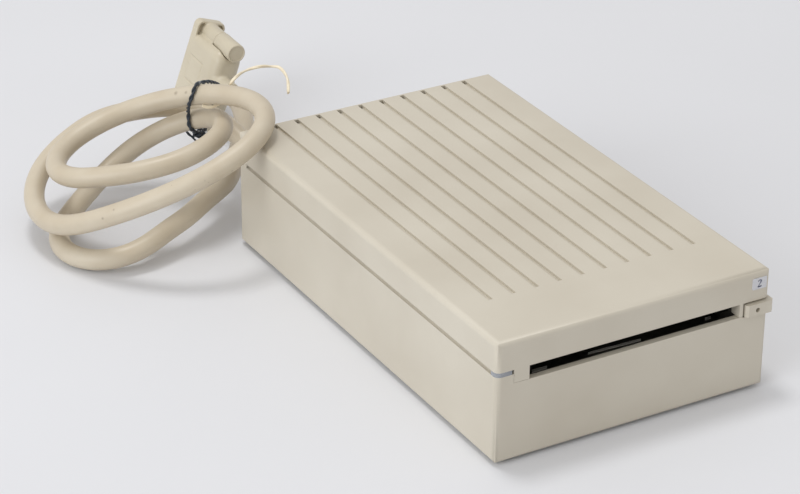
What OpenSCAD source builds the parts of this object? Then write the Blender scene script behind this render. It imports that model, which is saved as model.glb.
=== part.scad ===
// External 3.5-inch floppy disk drive with its captive cable and plug.
// Origin: middle of the case's footprint, on the table. The front faces -Y.

/* [Case] */
// Width of the case
case_w = 120; // [119:0.5:134]
// Depth of the case, front to back
case_d = 202; // [198:1:240]
// Height of the case above its feet
case_h = 50.5; // [50:0.5:60]
// Thickness of the case walls
wall = 2.6; // [2.4:0.1:2.8]
// Thickness of the floor of the case
floor_t = 2.4; // [2:0.1:3]
// Thickness of the roof of the case
roof_t = 2.8; // [2:0.1:3]
// Radius of the outer edges
edge_r = 2.4; // [1:0.1:2.6]
// Height of the rubber feet below the case
foot_h = 1; // [0.8:0.1:3]

/* [Seam and slot] */
// Height of the top cover above the recess at the seam
cover_h = 12.4; // [12:0.1:13]
// Height of the recess between the two halves
seam_gap = 1.8; // [1.6:0.1:2.4]
// Depth of the recess
seam_in = 1.6; // [1.2:0.1:1.8]
// Distance from each side of the case to the disk slot
slot_side = 14; // [13.8:0.1:14.2]

/* [Vents] */
// Number of grooves in the roof
groove_n = 10; // [4:1:11]
// Distance from one groove to the next
groove_pitch = 10; // [7:0.5:10.5]
// Width of a groove
groove_w = 2; // [1:0.1:3]
// Depth of a groove
groove_t = 1; // [0.5:0.1:1.4]

/* [Eject button] */
// Height of the eject button
button_h = 5.1; // [4.5:0.1:5.3]
// How far the button stands out of the front
button_out = 1.5; // [0.8:0.1:2.5]
// Diameter of the hole for a paper clip
clip_d = 1.9; // [1.2:0.1:2]

/* [Mechanism] */
// Space between the disk mechanism and the outside of the case
mech_side = 9.2; // [9:0.1:9.3]
// Distance from the floor to the mechanism
stand_h = 4; // [3.5:0.1:5]
// Radius of the spindle rotor
rotor_r = 30; // [24:0.5:31]
// Radius of the head guide rods
rod_r = 1.9; // [1.4:0.1:2]

/* [Cable] */
// Diameter of the cable
cable_d = 8.5; // [6:0.1:8.8]
// Diameter of the wire tie
tie_d = 1.2; // [0.8:0.1:1.3]

/* [Hidden] */
$fn = 48;

// Overrun of every cut past the face that it opens
over = 1;
// Sliding, turning and plain clearances
fit = 0.05;
gap = 0.2;
sheet = 0.8;

// Colours
c_case = [0.80, 0.78, 0.71];
c_side = [0.76, 0.74, 0.67];
c_cable = [0.80, 0.74, 0.63];
c_metal = [0.62, 0.62, 0.60];
c_zinc = [0.70, 0.69, 0.62];
c_black = [0.12, 0.12, 0.12];
c_board = [0.16, 0.34, 0.22];

// Case heights and inner faces
half_w = case_w / 2;
half_d = case_d / 2;
top_z = foot_h + case_h;
floor_z = foot_h + floor_t;
cover_z = top_z - cover_h;
seam_z = cover_z - seam_gap;
roof_z = top_z - roof_t;
in_x = half_w - wall;
in_y = half_d - wall;
// The recess stops this far before the rear face
seam_stop = 7;

// Posts of the case screws
post_side = 2.9;
post_front = 21;
post_rear = 11;
post_x = in_x - post_side;
post_front_y = -half_d + post_front;
post_rear_y = half_d - post_rear;
post_r = 3.2;
boss_r = 2.7;
case_head_r = 2.2;
case_head_h = 2;
case_shank_r = 1.4;
case_shank_h = 11;
case_seat = 8;
case_seat_z = cover_z - case_seat;
feet_side = 12;
feet_end = 13;
feet_x = half_w - feet_side;
feet_y = half_d - feet_end;
foot_r = 6;
foot_recess = 0.6;

// Roof grooves, from behind the front edge to the rear face
groove_front = 29.6;
groove_rear = 2.7;
groove_shift = 0.35;
groove_y0 = -half_d + groove_front;
groove_y1 = half_d - groove_rear;
vent_l = 1.6;

// Slot, its tabs and the light window
slot_w = case_w - 2 * slot_side;
slot_drop = 3.8;
slot_z = seam_z - slot_drop;
tab_left_w = 6.5;
tab_left_x = -slot_w / 2 - tab_left_w;
tab_right_in = 0.5;
tab_right_w = 1.6;
tab_right_x0 = slot_w / 2 + tab_right_in;
tab_right_x1 = tab_right_x0 + tab_right_w;
tab_right_l = 5;
tab_gap = 0.1;
window_w = 6.6;
window_return = 3.8;
window_gap = 0.9;
guide_side = 2.8;
guide_x0 = -half_w + guide_side;
guide_w = 3.4;
guide_inset = 0.2;

// Eject button
button_slit = 0.8;
button_x0 = tab_right_x1 + button_slit;
button_side = 1.2;
button_x1 = half_w + button_side;
button_drop = 0.3;
button_z = slot_z - button_drop;
button_y0 = -half_d - button_out;
button_lip = 0.5;
button_back = -in_y - button_lip;
button_l = 8;
button_rear_y = -half_d + button_l;
button_wrap_t = 2;
button_wrap = half_w - button_wrap_t;
button_bevel = 1;
button_travel = 0.5;
notch_gap = 0.6;
notch_rear_y = button_rear_y + notch_gap;
clip_in = 5.1;
clip_share = 0.46;
clip_x = button_x0 + clip_in;
clip_z = button_z + button_h * clip_share;
stem_side = 1.3;
stem_x = in_x - stem_side;
stem_z = button_z + button_h / 2;
stem_r = 1;
spring_r = 1.5;
guide_wall_in = 4;
guide_wall_t = 1.4;
guide_wall_y0 = -in_y + guide_wall_in;
guide_wall_y1 = guide_wall_y0 + guide_wall_t;
stem_out = 2.4;
stem_end_y = guide_wall_y1 + stem_out;

// Small boards beside the mechanism
ledge_w = 6;
ledge_l = 7.2;
ledge_lap = 0.4;
ledge_drop = 2.1;
ledge_x = in_x - ledge_w;
ledge_y0 = stem_end_y - ledge_lap;
ledge_y1 = ledge_y0 + ledge_l;
ledge_t = 1.2;
ledge_z = slot_z - ledge_drop;
small_board_t = 1.2;
switch_gap = 0.3;
switch_y = stem_end_y + button_travel + switch_gap;
switch_w = 4;
switch_l = 5.2;
switch_h = 5.6;
lamp_l = 3.6;

// Number label on the front
label_w = 6.4;
label_h = 4.7;
label_t = 0.3;
label_side = 2.05;
label_up = 4.8;
label_x1 = half_w - label_side;
label_z = cover_z + label_up;
label_r = 0.6;

// Mechanism: its cage lines up with the slot, and the plate under the cage
// carries the rest, so that the mechanism follows the case's width and height
mech_z = floor_z + stand_h;
mech_half = half_w - mech_side;
mech_in = 7;
mech_front = -half_d + mech_in;
cage_l = 94;
cage_rear = mech_front + cage_l;
carriage_l = 22;
carriage_gap = 8;
plate_rear = cage_rear + carriage_l + carriage_gap;
bracket_t = 3;
stepper_l = 18;
mech_end = 3;
mech_rear = plate_rear + bracket_t + stepper_l + mech_end;
roof_gap = 1.3;
frame_top = roof_z - roof_gap - sheet;
frame_wall = 2;
frame_x = mech_half - frame_wall;
cage_drop = 0.1;
cage_z = slot_z - cage_drop;
plate_gap = 7.4;
plate_t = 2;
plate_top = cage_z - plate_gap;
plate_z = plate_top - plate_t;
bracket_up = 4.6;
bracket_z = mech_z + bracket_up;
column_side = 6.8;
column_front_in = 19;
column_rear_out = 10;
column_x = mech_half - column_side;
column_front = mech_front + column_front_in;
column_rear = plate_rear + column_rear_out;
column_r = 4;
ledge_rear_x = column_x - column_r;
mount_r = 1.5;
mount_head_r = 3;
mount_head_h = 2;
mount_recess = 3;
shield_boss = 5;
shield_boss_l = 4.4;
shield_boss_h = 4.6;
shield_screw_r = 1.1;
shield_head_r = 2.1;
shield_head_h = 1;

// Disk cage and slide plate
disk_travel = 3.2;
slide_travel = 5;
cage_side = 4.4;
cage_half = mech_half - cage_side;
cage_h = 6;
cage_front = mech_front;
cage_flange = 6.4;
cage_open_half = 10;
cage_open_l = 22;
pin_r = 1;
pin_z = cage_z + cage_h / 2;
pin_front = 14;
pin_rear = 20;
pin_ys = [cage_front + pin_front, cage_rear - pin_rear];
pin_out = 4;
slot_play = 0.15;
slide_side = 2.4;
slide_up = 10;
slide_down = 1.9;
slide_front_in = 10.4;
slide_rear_in = 12;
slide_out = mech_half - slide_side;
slide_z = cage_z + slide_up;
slide_foot = cage_z - slide_down;
slide_front = mech_front + slide_front_in;
slide_rear = cage_rear - slide_rear_in;
runner_w = 1.4;
runner_h = 1;

// Shutter arm on the cage, left
arm_side = 12.8;
arm_in = 13;
arm_x = -mech_half + arm_side;
arm_y = cage_rear - arm_in;
arm_pin_r = 1.5;
arm_r = 3;
arm_t = 1;
arm_w = 4;
arm_l = 31;
arm_angle = 30;
arm_tab_t = 1.3;
arm_tab_drop = 3.6;

// Spindle
spindle_in = 52;
spindle_y = mech_front + spindle_in;
shaft_r = 2;
bearing_r = 6;
bearing_flange_r = 8;
bearing_flange_t = 1;
bearing_drop = 6.7;
hub_r = 13;
hub_t = 2;
hub_up = 3.9;
hub_z = plate_top + hub_up;
hub_collar_r = 4;
hub_pin_r = 1;
hub_pin_at = 9;
hub_pin_h = 2;
rotor_t = 2;
rotor_rim = 2.5;
rotor_h = 6.8;
rotor_gap = 1;
coil_n = 9;
coil_share = 0.6;
coil_at = rotor_r * coil_share;
coil_r = 4.4;
coil_core_r = 2;
coil_h = 4;
motor_board_t = 1.2;
motor_board_side = 1.5;
motor_board_end = 2;
rotor_z = plate_z - motor_board_t - rotor_gap - rotor_h;

// Head carriage, rods and stepper motor
rod_share = 0.3937;
screw_share = 0.6;
rod_x = mech_half * rod_share;
screw_x = rod_x * screw_share;
rod_up = 2.2;
rod_z = plate_top + rod_up;
rod_block_in = 20;
rod_block_y = spindle_y + rod_block_in;
rod_block_l = 4;
rod_block_h = 4.6;
rod_block_w = 7;
screw_r = 1.6;
carriage_y = cage_rear;
carriage_side = 3;
carriage_half = rod_x + carriage_side;
carriage_h = 4.7;
carriage_lift = 0.4;
tongue_half = 7;
tongue_l = 8;
tongue_h = 4.1;
head_w = 6;
head_y = carriage_y - head_w / 2 - gap;
lower_head_h = 2.4;
ear_t = 2;
ear_in = 4.5;
ear_l = 6;
hinge_in = 19;
hinge_up = 6.4;
hinge_y = carriage_y + hinge_in;
hinge_z = cage_z + hinge_up;
hinge_r = 1;
knuckle_r = 2;
upper_arm_t = 1.2;
upper_head_h = 1.8;
stepper_gap = 3.4;
stepper_r = frame_top - rod_z - stepper_gap;
screw_nose_r = 3;
sensor_w = 5;
sensor_l = 6;
sensor_h = 5;
sensor_gap = 0.6;
sensor_in = 2;

// Eject gear train, right rear
gear_side = 14.8;
gear_in = 8;
gear_up = 6.6;
gear_x = mech_half - gear_side;
gear_y = cage_rear + gear_in;
gear_z = cage_z + gear_up;
gear_t = 2.4;
gear_module = 0.75;
gear_teeth = 24;
pinion_teeth = 8;
gear_bore_r = 2;
gear_bore_h = 1.6;
gear_shoulder_r = 3.5;
tooth_up = 0.5;
tooth_down = 0.7;
tooth_root_w = 1.25;
tooth_tip_w = 0.45;
crank_r = slide_travel / 2;
crank_pin_r = 1;
crank_pin_h = 2.6;
yoke_play = 0.95;
yoke_side = 0.4;
yoke_half = 5.6;
yoke_rear = 16;
eject_motor_r = 6;
eject_motor_h = 12.6;
pinion_shaft_r = 0.75;
pinion_shaft_h = 4;
pinion_y = gear_y + gear_module * (gear_teeth + pinion_teeth) / 2;

// Logic board under the mechanism, between the rotor and the stepper motor
board_up = 2;
board_z = mech_z + board_up;
board_t = 1.6;
board_side = 11.8;
board_gap = 3;
board_half = mech_half - board_side;
board_front = spindle_y + rotor_r + board_gap;
board_rear = plate_rear;
board_post_in = 4;
board_post_x = board_half - board_post_in;
board_post_r = 2.5;
board_post_ys = [board_front + board_post_in, plate_rear - board_post_in];
// Chips: middle in x as a share of the board's half width, distance of
// the middle from the board's front, width and length as shares of the board
chip_shares = [[-0.45, 0.28, 0.50, 0.18], [0.42, 0.26, 0.34, 0.26],
    [-0.52, 0.62, 0.30, 0.24], [0.10, 0.60, 0.26, 0.14]];
chip_h = 2.2;
header_w = 31;
header_l = 6;
header_share = 0.54;
header_h = (plate_z - board_z - board_t) * header_share;

// Rear socket, for one more drive
socket_side = 38;
socket_up = 19;
socket_x = half_w - socket_side;
socket_z = foot_h + socket_up;
socket_plate_w = 40;
socket_plate_h = 12.5;
socket_w = 30;
socket_h = 9.6;
socket_wall = 0.5;
socket_gap = 0.3;
socket_slant_share = 0.12;
socket_depth = 8;
socket_n = 12;
socket_pitch = 2.2;
socket_row_share = 0.6;
socket_bore_r = 0.6;
socket_nut_r = 2.5;
socket_nut_h = 1.4;
socket_nut_at = 17;

// Cable: tubes, loops and the points of the two free ends
cable_r = cable_d / 2;
boot_x = -38;
boot_z = 24;
boot_l = 24;
boot_r = 6.5;
boot_end_r = 4.9;
boot_neck_r = 6;
boot_flange_r = 8;
boot_flange_t = 2;
plug_end_points = [[-19, 190, 22.7], [-19.4, 181, 22.7], [-22, 171.5, 21.3],
    [-27, 161.5, 19.3], [-34.5, 151, 17.2], [-43.5, 138.5, 15.6]];
case_end_points = [[-90, 175.5, 32], [-79, 172.5, 34.5], [-67.5, 168, 36],
    [-57, 163.5, 36], [-48, 157.5, 34], [-41.5, 149, 30], [-38, 138.5, 24.5],
    [-38, 134, 24], [-38, 125, 24]];
// Middle of the loops, how far it drifts in a turn, and for each eighth of
// a turn the distance from that middle and the height of the cable
loop_middle = [-94, 126];
loop_drift = -2;
loop_steps = 8;
loop_rings = 24;
loop_turns = 2.75;
loop_radii = [106, 29, 22, 19, 36, 37, 27, 31, 46, 48, 16, 10, 10, 12, 37, 41, 41, 44,
    66, 42, 31, 32, 41, 54, 37];
loop_heights = [9, 17, 13, 12, 5, 4, 7, 12, 32, 46, 37, 36, 34, 33, 25, 33, 45, 56,
    62, 40, 25, 13, 14, 26, 54];
// Wire tie round the three upper strands, and the spare tie's free tail
tie_points = [[-58.5, 141, 56], [-61, 139, 55], [-62, 139, 52.5], [-63, 140, 48.5],
    [-62, 143.5, 44], [-60.5, 146.5, 40], [-61, 145.5, 37.5], [-60.5, 145.5, 34.5],
    [-58, 146.5, 31.5], [-53.5, 150, 28], [-48.5, 155.5, 26.5], [-44, 160, 28.5],
    [-42, 161.5, 35], [-42.5, 158.5, 41], [-42.5, 153.5, 46.5], [-48, 148, 51.5],
    [-53, 144, 54.5]];
spare_points = [[-59, 136, 48], [-55.5, 135, 47], [-50.5, 134.5, 48.5], [-47.5, 134, 54],
    [-48, 130.5, 58.5], [-44.5, 132, 60], [-40.5, 134.5, 60], [-36, 136, 60],
    [-31.5, 135, 60.5], [-27, 135, 59.5], [-24.5, 132.5, 59.5], [-23.5, 129.5, 58],
    [-24, 125.5, 56], [-27.5, 118.5, 54]];
spare_d = 1;

// Plug: X is its thickness, Y the way it mates, Z its width
plug_at = [-17.4, 227, 22.7];
plug_turn = [0, 19.2, -2.5];
plug_half = 21.6;
plug_core = 15.6;
plug_t = 6.9;
plug_l = 29;
plug_wall = 1.6;
plug_flange = 2.5;
plug_corner = 3;
thumb_at = 17.2;
thumb_r = 4.3;
thumb_gap = 0.3;
thumb_end = 32;
barrel_r = 4;
barrel_end = 15.7;
thumb_shank_r = 1.5;
thumb_tip = 6;
collar_r = 5;
collar_l = 8;
plug_plate_t = 0.8;
plug_plate_x = 5.4;
plug_plate_in = 1.6;
plug_tube = 14.3;
plug_tube_x = 4.1;
plug_tube_l = 5;
plug_tube_wall = 0.5;
plug_insert_l = 2.4;
plug_pin_r = 0.5;
plug_pin_pitch = 2.6;
plug_pin_rows = [10, 9];
plug_slant_share = 0.25;
plug_pin_row_x = 1.42;
plug_pin_l = 4.4;
panel_w = 11;
panel_l = 13.4;
panel_y = -11;
panel_line = 0.6;
panel_depth = 0.3;
thumb_cradle_r = thumb_r + thumb_gap;
plug_cavity = thumb_at - thumb_cradle_r - plug_wall;

// Shared shapes
module span(x0, x1, y0, y1, z0, z1) {
  translate([x0, y0, z0]) cube([x1 - x0, y1 - y0, z1 - z0]);
}

module round_rect(w, h, r) {
  square([w - 2 * r, h], center = true);
  square([w, h - 2 * r], center = true);
  for (sx = [-1, 1], sy = [-1, 1])
    translate([sx * (w / 2 - r), sy * (h / 2 - r)]) circle(r);
}

// Block standing on z = 0 whose edges are all rounded
module round_box(w, d, h, r) {
  intersection() {
    linear_extrude(h) round_rect(w, d, r);
    translate([0, d / 2, h / 2]) rotate([90, 0, 0]) linear_extrude(d) round_rect(w, h, r);
    translate([-w / 2, 0, h / 2]) rotate([90, 0, 90]) linear_extrude(w) round_rect(d, h, r);
  }
}

module case_body() {
  translate([0, 0, foot_h]) round_box(case_w, case_d, case_h, edge_r);
}

module rod_y(r, y0, y1) {
  translate([0, y0, 0]) rotate([-90, 0, 0]) cylinder(r = r, h = y1 - y0);
}

module both_sides() {
  children();
  mirror([1, 0, 0]) children();
}

// Places the four case screws, mirrored left to right
module at_posts() {
  both_sides() {
    translate([post_x, post_front_y, 0]) children();
    translate([post_x, post_rear_y, 0]) children();
  }
}

module at_columns() {
  both_sides() {
    translate([column_x, column_front, 0]) children();
    translate([column_x, column_rear, 0]) children();
  }
}

// Screw pointing up, with the underside of its head at z
module screw_up(z, head_r, head_h, shank_r, shank_h) {
  translate([0, 0, z - head_h]) cylinder(r = head_r, h = head_h);
  translate([0, 0, z]) cylinder(r = shank_r, h = shank_h);
}

// Spur gear outline with plain trapezoid teeth
module gear_outline(teeth, phase) {
  pitch_r = gear_module * teeth / 2;
  root = pitch_r - tooth_down;
  tip = pitch_r + tooth_up;
  circle(root);
  for (i = [0 : teeth - 1]) rotate(phase + i * 360 / teeth)
    polygon([[root / 2, -tooth_root_w / 2], [root, -tooth_root_w / 2],
      [tip, -tooth_tip_w / 2], [tip, tooth_tip_w / 2], [root, tooth_root_w / 2],
      [root / 2, tooth_root_w / 2]]);
}

// Straight slot with round ends, from the origin to [dx, dy]
module slot_outline(dx, dy, r) {
  circle(r);
  translate([dx, dy]) circle(r);
  rotate(atan2(dy, dx)) translate([0, -r]) square([norm([dx, dy]), 2 * r]);
}

// Uniform cubic B-spline through a list of values
function blend(v, t) =
  let (i = min(floor(t), len(v) - 4), u = t - i)
  ((1 - u) ^ 3 * v[i] + (3 * u ^ 3 - 6 * u ^ 2 + 4) * v[i + 1]
    + (1 + 3 * u + 3 * u ^ 2 - 3 * u ^ 3) * v[i + 2] + u ^ 3 * v[i + 3]) / 6;

// Catmull-Rom curve through a list of points, cut into n steps a span
function bend(p, i, u) =
  let (n = len(p) - 1,
    a = i > 0 ? p[i - 1] : 2 * p[0] - p[1],
    d = i < n - 1 ? p[i + 2] : 2 * p[n] - p[n - 1],
    b = p[i], c = p[i + 1])
  (2 * b + (c - a) * u + (2 * a - 5 * b + 4 * c - d) * u ^ 2
    + (3 * b - a - 3 * c + d) * u ^ 3) / 2;
function curve(p, n) = [for (i = [0 : len(p) - 2], k = [0 : n - 1]) bend(p, i, k / n),
  p[len(p) - 1]];

function unit(v) = v / norm(v);
// Direction of a line of points at point i, straight at both ends
function heading(p, i) =
  i == 0 ? unit(p[1] - p[0]) :
  i == len(p) - 1 ? unit(p[i] - p[i - 1]) :
  unit(unit(p[i + 1] - p[i]) + unit(p[i] - p[i - 1]));
function ring(c, t, r, n) =
  let (a = unit(cross(t, [0, 0, 1])), b = cross(a, t))
  [for (k = [0 : n - 1]) c + r * (cos(360 * k / n) * a + sin(360 * k / n) * b)];
// Sides of a tube between ring i and the next, two triangles each
function tube_sides(rings, n, wrap) = [for (i = [0 : rings - (wrap ? 1 : 2)], k = [0 : n - 1],
  h = [0, 1]) let (a = i * n + k, b = i * n + (k + 1) % n,
    c = ((i + 1) % rings) * n + k, d = ((i + 1) % rings) * n + (k + 1) % n)
  h == 0 ? [a, d, c] : [a, b, d]];

// Tube along a line of points; t0 and t1 turn its end faces
module tube(p, r, n, t0, t1) {
  m = len(p);
  points = [for (i = [0 : m - 1]) each ring(p[i],
    i == 0 && !is_undef(t0) ? t0 : i == m - 1 && !is_undef(t1) ? t1 : heading(p, i), r, n)];
  first = [for (k = [1 : n - 2]) [0, k + 1, k]];
  last = [for (k = [1 : n - 2]) [(m - 1) * n, (m - 1) * n + k, (m - 1) * n + k + 1]];
  polyhedron(points, concat(first, tube_sides(m, n, false), last));
}

// Closed ring of wire through points, which the last one joins to the first
module wire_ring(p, r, n) {
  m = len(p);
  points = [for (i = [0 : m - 1]) each
    let (t = unit(p[(i + 1) % m] - p[(i + m - 1) % m]), a = unit(cross(t, [0.75, -0.62, 0.24])),
      b = cross(a, t)) [for (k = [0 : n - 1]) p[i] + r * (cos(360 * k / n) * a
        + sin(360 * k / n) * b)]];
  polyhedron(points, tube_sides(m, n, true));
}

// Case
module shell_space() {
  span(-in_x, in_x, -in_y, in_y, floor_z, roof_z);
}

module top_cover() {
  color(c_case) difference() {
    union() {
      difference() {
        case_body();
        shell_space();
        span(-case_w, case_w, -case_d, case_d, 0, cover_z);
      }
      span(tab_left_x, -slot_w / 2, -half_d, -in_y, slot_z + tab_gap, cover_z + edge_r);
      span(tab_right_x0, tab_right_x1, -half_d, -half_d + tab_right_l, slot_z + tab_gap,
        cover_z + edge_r);
      at_posts() translate([0, 0, cover_z]) cylinder(r = boss_r, h = roof_z - cover_z + over);
    }
    for (i = [0 : groove_n - 1])
      translate([(i - (groove_n - 1) / 2) * groove_pitch - groove_w / 2 + groove_shift, 0, 0]) {
        span(0, groove_w, groove_y0, groove_y1, top_z - groove_t, top_z + over);
        span(0, groove_w, groove_y1 - vent_l, groove_y1, roof_z - over, top_z);
      }
    at_posts() translate([0, 0, cover_z - over])
      cylinder(r = case_shank_r + fit, h = over + case_shank_h);
  }
}

module lip_ring() {
  difference() {
    span(-half_w + seam_in, half_w - seam_in, -half_d + seam_in, half_d - seam_in,
      seam_z - over, cover_z);
    shell_space();
  }
}

// Ribs that carry the small boards, on one side
module board_ledge() {
  for (y = [ledge_y0, ledge_y1 - ledge_t])
    span(ledge_x, in_x + over, y, y + ledge_t, floor_z - over, ledge_z);
}

module bottom_case() {
  color(c_side) difference() {
    union() {
      difference() {
        case_body();
        shell_space();
        span(-case_w, case_w, -case_d, half_d - seam_stop, seam_z, top_z + over);
        span(-case_w, case_w, half_d - seam_stop - over, case_d, cover_z, top_z + over);
      }
      lip_ring();
      at_posts() translate([0, 0, foot_h + floor_t / 2])
        cylinder(r = post_r, h = cover_z - foot_h - floor_t / 2);
      at_columns() translate([0, 0, foot_h + floor_t / 2])
        cylinder(r = column_r + over, h = mech_z - foot_h - floor_t / 2);
      both_sides() board_ledge();
      // Wall that guides the button's stem
      span(ledge_x, in_x + over, guide_wall_y0, guide_wall_y1, floor_z - over, cover_z - gap);
    }
    // Slot and the seats of the cover's tabs
    span(tab_left_x - tab_gap, tab_right_x1 + tab_gap, -case_d, -in_y + over, slot_z,
      top_z + over);
    // Notch of the eject button
    span(tab_right_x1, case_w, -case_d, -in_y + fit, button_z - tab_gap, top_z + over);
    span(in_x - fit, case_w, -case_d, notch_rear_y, button_z - tab_gap, top_z + over);
    // Seat of the light window
    span(-case_w, -half_w + window_w + window_gap, -case_d, -in_y + fit, seam_z, top_z);
    span(-case_w, -in_x + fit, -case_d, -half_d + window_return + tab_gap, seam_z, top_z);
    at_posts() {
      translate([0, 0, -over]) cylinder(r = case_head_r + fit, h = case_seat_z + over);
      cylinder(r = case_shank_r + fit, h = top_z);
    }
    at_columns() {
      cylinder(r = mount_head_r + fit, h = foot_h + mount_recess);
      cylinder(r = mount_r + fit, h = mech_z + over);
    }
    both_sides() for (y = [-feet_y, feet_y]) translate([feet_x, y, 0])
      cylinder(r = foot_r + fit, h = foot_h + foot_recess);
    // Paper clip and stem through the guide wall
    translate([clip_x, 0, clip_z]) rod_y(clip_d / 2 + gap, guide_wall_y0 - over,
      guide_wall_y1 + over);
    translate([stem_x, 0, stem_z]) rod_y(stem_r + fit, guide_wall_y0 - over,
      guide_wall_y1 + over);
    // Cable and rear socket
    translate([boot_x, 0, boot_z]) rod_y(boot_neck_r + fit, in_y - over, half_d + over);
    span(socket_x - socket_w / 2 - socket_gap, socket_x + socket_w / 2 + socket_gap,
      in_y - over, half_d + over, socket_z - socket_h / 2 - socket_gap,
      socket_z + socket_h / 2 + socket_gap);
  }
}

module rubber_feet() {
  color(c_black) both_sides() for (y = [-feet_y, feet_y]) translate([feet_x, y, 0])
    cylinder(r = foot_r, h = foot_h + foot_recess);
}

module case_screws() {
  color(c_metal) at_posts()
    screw_up(case_seat_z, case_head_r, case_head_h, case_shank_r, case_shank_h);
}

module mount_screws() {
  color(c_metal) at_columns() screw_up(foot_h + mount_recess, mount_head_r, mount_head_h,
    mount_r, mech_z + column_r - foot_h - mount_recess);
}

module eject_button() {
  color(c_case) difference() {
    union() {
      translate([0, 0, button_z]) linear_extrude(button_h)
        polygon([[button_x0, button_back], [button_x0, button_y0 + button_bevel],
          [button_x0 + button_bevel, button_y0], [button_x1 - button_bevel, button_y0],
          [button_x1, button_y0 + button_bevel], [button_x1, button_rear_y],
          [button_wrap, button_rear_y], [button_wrap, button_back]]);
      translate([stem_x, 0, stem_z]) rod_y(stem_r, button_back - over, stem_end_y);
    }
    translate([clip_x, 0, clip_z]) rod_y(clip_d / 2, button_y0 - over, button_back + over);
  }
}

module button_spring() {
  color(c_metal) translate([stem_x, 0, stem_z]) difference() {
    rod_y(spring_r, button_back, guide_wall_y0);
    rod_y(stem_r + fit, button_back - over, guide_wall_y0 + over);
  }
}

module switch_board() {
  color(c_board) span(ledge_x + gap, in_x - gap, ledge_y0, ledge_y1, ledge_z,
    ledge_z + small_board_t);
}

module eject_switch() {
  color(c_black) span(in_x - gap - switch_w, in_x - gap, switch_y, switch_y + switch_l,
    ledge_z + small_board_t, ledge_z + small_board_t + switch_h);
}

module light_window() {
  color([0.6, 0.63, 0.67]) {
    intersection() {
      case_body();
      union() {
        span(-half_w, -half_w + window_w, -half_d, -in_y, seam_z, cover_z);
        span(-half_w, -in_x, -half_d, -half_d + window_return, seam_z, cover_z);
      }
    }
    span(guide_x0, guide_x0 + guide_w, -in_y - over, ledge_y0, seam_z + guide_inset,
      cover_z - guide_inset);
  }
}

module led_board() {
  color(c_board) mirror([1, 0, 0]) span(ledge_x + gap, in_x - gap, ledge_y0, ledge_y1,
    ledge_z, ledge_z + small_board_t);
}

module led_lamp() {
  color([0.5, 0.75, 0.4]) span(guide_x0, guide_x0 + guide_w, ledge_y0 + gap,
    ledge_y0 + gap + lamp_l, ledge_z + small_board_t, cover_z - guide_inset);
}

module number_label() {
  color([0.8, 0.8, 0.81]) translate([label_x1 - label_w / 2, -half_d, label_z + label_h / 2])
    rotate([90, 0, 0]) linear_extrude(label_t) {
      translate([label_r / 2, 0]) square([label_w - label_r, label_h], center = true);
      translate([-label_w / 2 + label_r, 0]) square([2 * label_r, label_h - 2 * label_r],
        center = true);
      for (s = [-1, 1]) translate([-label_w / 2 + label_r, s * (label_h / 2 - label_r)])
        circle(label_r);
    }
}

// Disk mechanism
module frame_side() {
  difference() {
    span(frame_x, mech_half, mech_front, mech_rear, mech_z, frame_top);
    for (y = pin_ys) translate([mech_half + over, y, pin_z]) rotate([0, -90, 0])
      linear_extrude(frame_wall + 2 * over) slot_outline(-disk_travel, 0, pin_r + slot_play);
  }
  // Runner under the slide plate
  span(frame_x - runner_w, frame_x + over, slide_front - slide_travel, slide_rear,
    slide_foot - gap - runner_h, slide_foot - gap);
  for (y = [mech_front, mech_rear - shield_boss_l])
    span(frame_x - shield_boss, frame_x + over, y, y + shield_boss_l,
      frame_top - shield_boss_h, frame_top);
  translate([column_x, column_front, mech_z]) cylinder(r = column_r, h = plate_z - mech_z + over);
  translate([column_x, column_rear, mech_z]) cylinder(r = column_r, h = plate_z - mech_z + over);
  span(ledge_rear_x, frame_x + over, plate_rear - over, mech_rear, plate_z, plate_top);
  for (y = board_post_ys) translate([board_post_x, y, board_z + board_t])
    cylinder(r = board_post_r, h = plate_z - board_z - board_t + over);
}

module drive_frame() {
  color(c_zinc) difference() {
    union() {
      both_sides() frame_side();
      span(-frame_x - over, frame_x + over, mech_front, plate_rear, plate_z, plate_top);
      span(-frame_x - over, frame_x + over, plate_rear, plate_rear + bracket_t, bracket_z,
        frame_top);
      span(-rod_x - rod_block_w / 2, -rod_x + rod_block_w / 2, rod_block_y,
        rod_block_y + rod_block_l, plate_top - over, plate_top + rod_block_h);
      span(screw_x - rod_block_w / 2, rod_x + rod_block_w / 2, rod_block_y,
        rod_block_y + rod_block_l, plate_top - over, plate_top + rod_block_h);
      translate([gear_x, gear_y, plate_top - over])
        cylinder(r = gear_shoulder_r, h = gear_z - gap - plate_top + over);
      translate([gear_x, gear_y, plate_top])
        cylinder(r = gear_bore_r, h = gear_z + gear_bore_h - gap - plate_top);
    }
    translate([0, spindle_y, plate_z - over])
      cylinder(r = bearing_r + fit, h = plate_t + 2 * over);
    for (x = [-rod_x, rod_x]) translate([x, 0, rod_z])
      rod_y(rod_r + fit, rod_block_y - over, plate_rear + bracket_t - over);
    translate([screw_x, 0, rod_z]) {
      rod_y(screw_r + fit, rod_block_y - over, plate_rear);
      rod_y(screw_nose_r, plate_rear - over, plate_rear + bracket_t + over);
    }
    at_columns() translate([0, 0, mech_z - over])
      cylinder(r = mount_r + fit, h = over + column_r + mount_recess);
    at_shield_screws() translate([0, 0, frame_top - shield_boss_h - over])
      cylinder(r = shield_screw_r + fit, h = shield_boss_h + 2 * over);
  }
}

module at_shield_screws() {
  both_sides() for (y = [mech_front, mech_rear - shield_boss_l])
    translate([frame_x - shield_boss / 2, y + shield_boss_l / 2, 0]) children();
}

module top_shield() {
  color(c_metal) difference() {
    span(-mech_half, mech_half, mech_front, mech_rear, frame_top, frame_top + sheet);
    at_shield_screws() translate([0, 0, frame_top - over])
      cylinder(r = shield_screw_r + fit, h = sheet + 2 * over);
  }
}

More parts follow.
